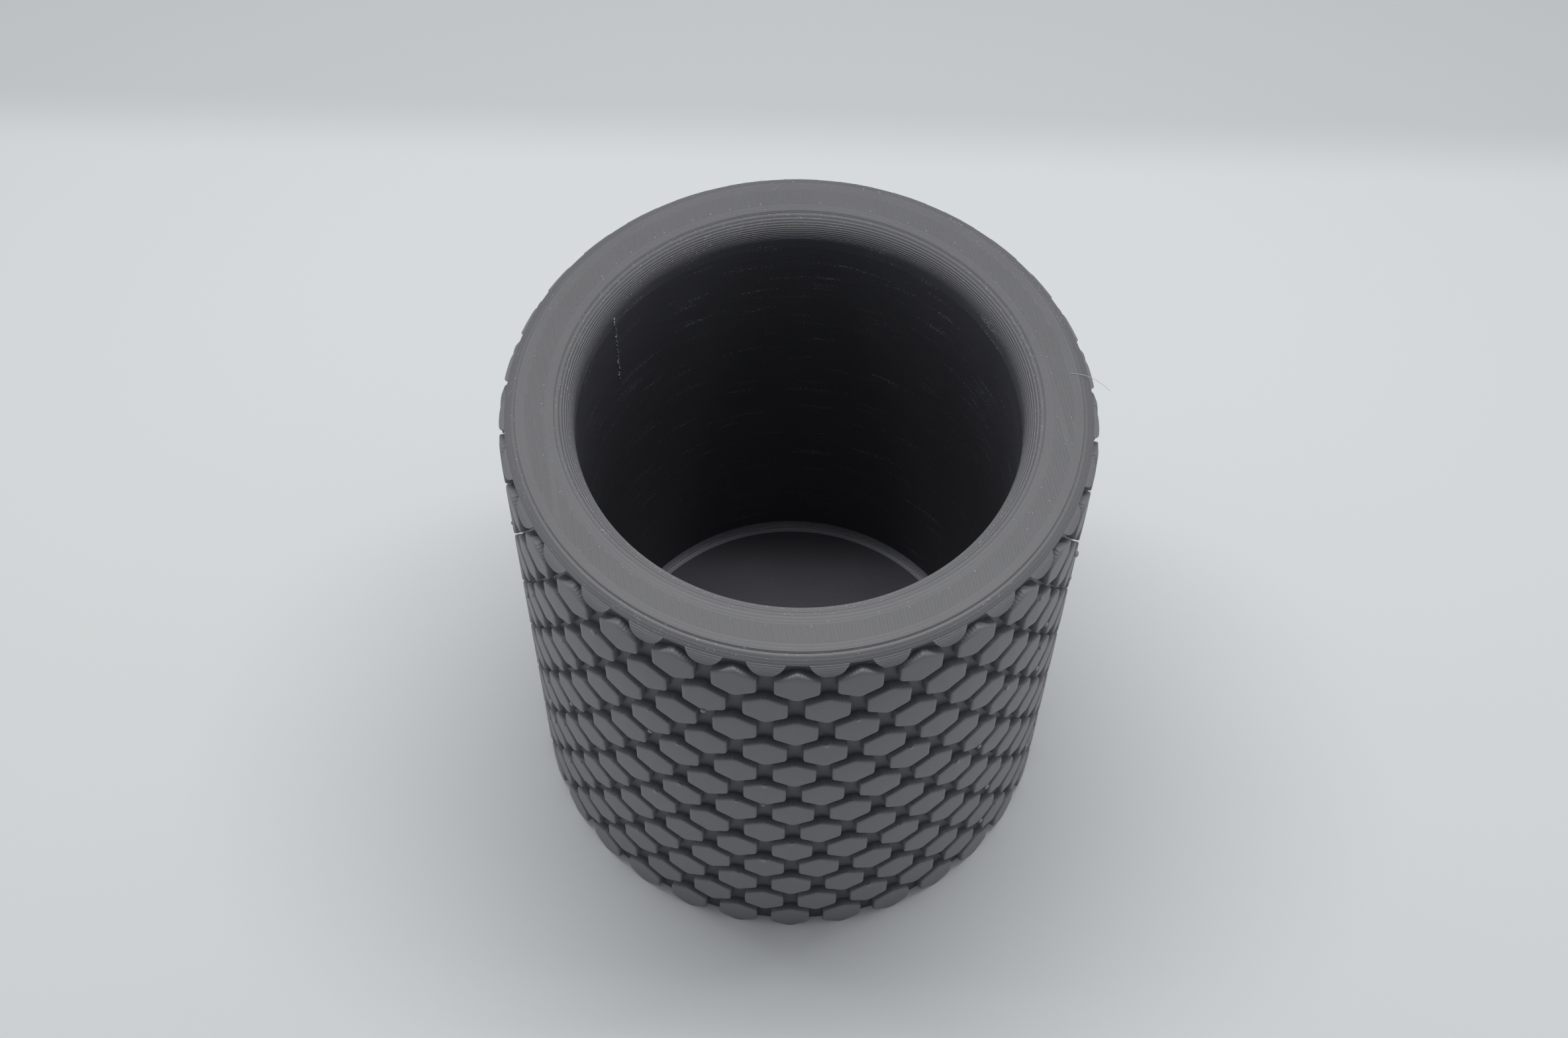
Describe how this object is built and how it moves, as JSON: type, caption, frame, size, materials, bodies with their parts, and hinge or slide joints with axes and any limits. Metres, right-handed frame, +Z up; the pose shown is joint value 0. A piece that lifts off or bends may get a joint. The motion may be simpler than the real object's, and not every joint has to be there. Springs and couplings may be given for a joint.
{
  "type": "rock tumbler barrel",
  "caption": "Open cylindrical rock tumbler barrel in dark grey printed plastic, with a round chamber, a rolled mouth and a raised hexagon drive tread.",
  "frame": {"origin": "centre of the base, on the surface that the barrel stands on", "axes": "+Z up along the barrel's axis, out of the mouth; the first pad of the top tread row lies one degree past -Y, towards +X"},
  "size_m": [0.08, 0.08, 0.085],
  "materials": {
    "chamber_plastic": "dark grey printed plastic, satin, fine layer lines",
    "wall_plastic": "dark grey printed plastic, matte, fine layer lines",
    "rim_plastic": "dark grey printed plastic, matte, ring and straight infill lines",
    "tread_plastic": "dark grey printed plastic, matte, fine layer lines"
  },
  "bodies": {
    "root": {"floor_disc": "chamber_plastic", "wall_foot": "chamber_plastic", "barrel_wall": "wall_plastic", "mouth_ring": "rim_plastic", "rim_scallops": "tread_plastic", "tread_row_01": "tread_plastic", "tread_row_02": "tread_plastic", "tread_row_03": "tread_plastic", "tread_row_04": "tread_plastic", "tread_row_05": "tread_plastic", "tread_row_06": "tread_plastic", "tread_row_07": "tread_plastic", "tread_row_08": "tread_plastic", "tread_row_09": "tread_plastic", "tread_row_10": "tread_plastic", "tread_row_11": "tread_plastic", "tread_row_12": "tread_plastic", "tread_row_13": "tread_plastic"}
  },
  "joints": []
}
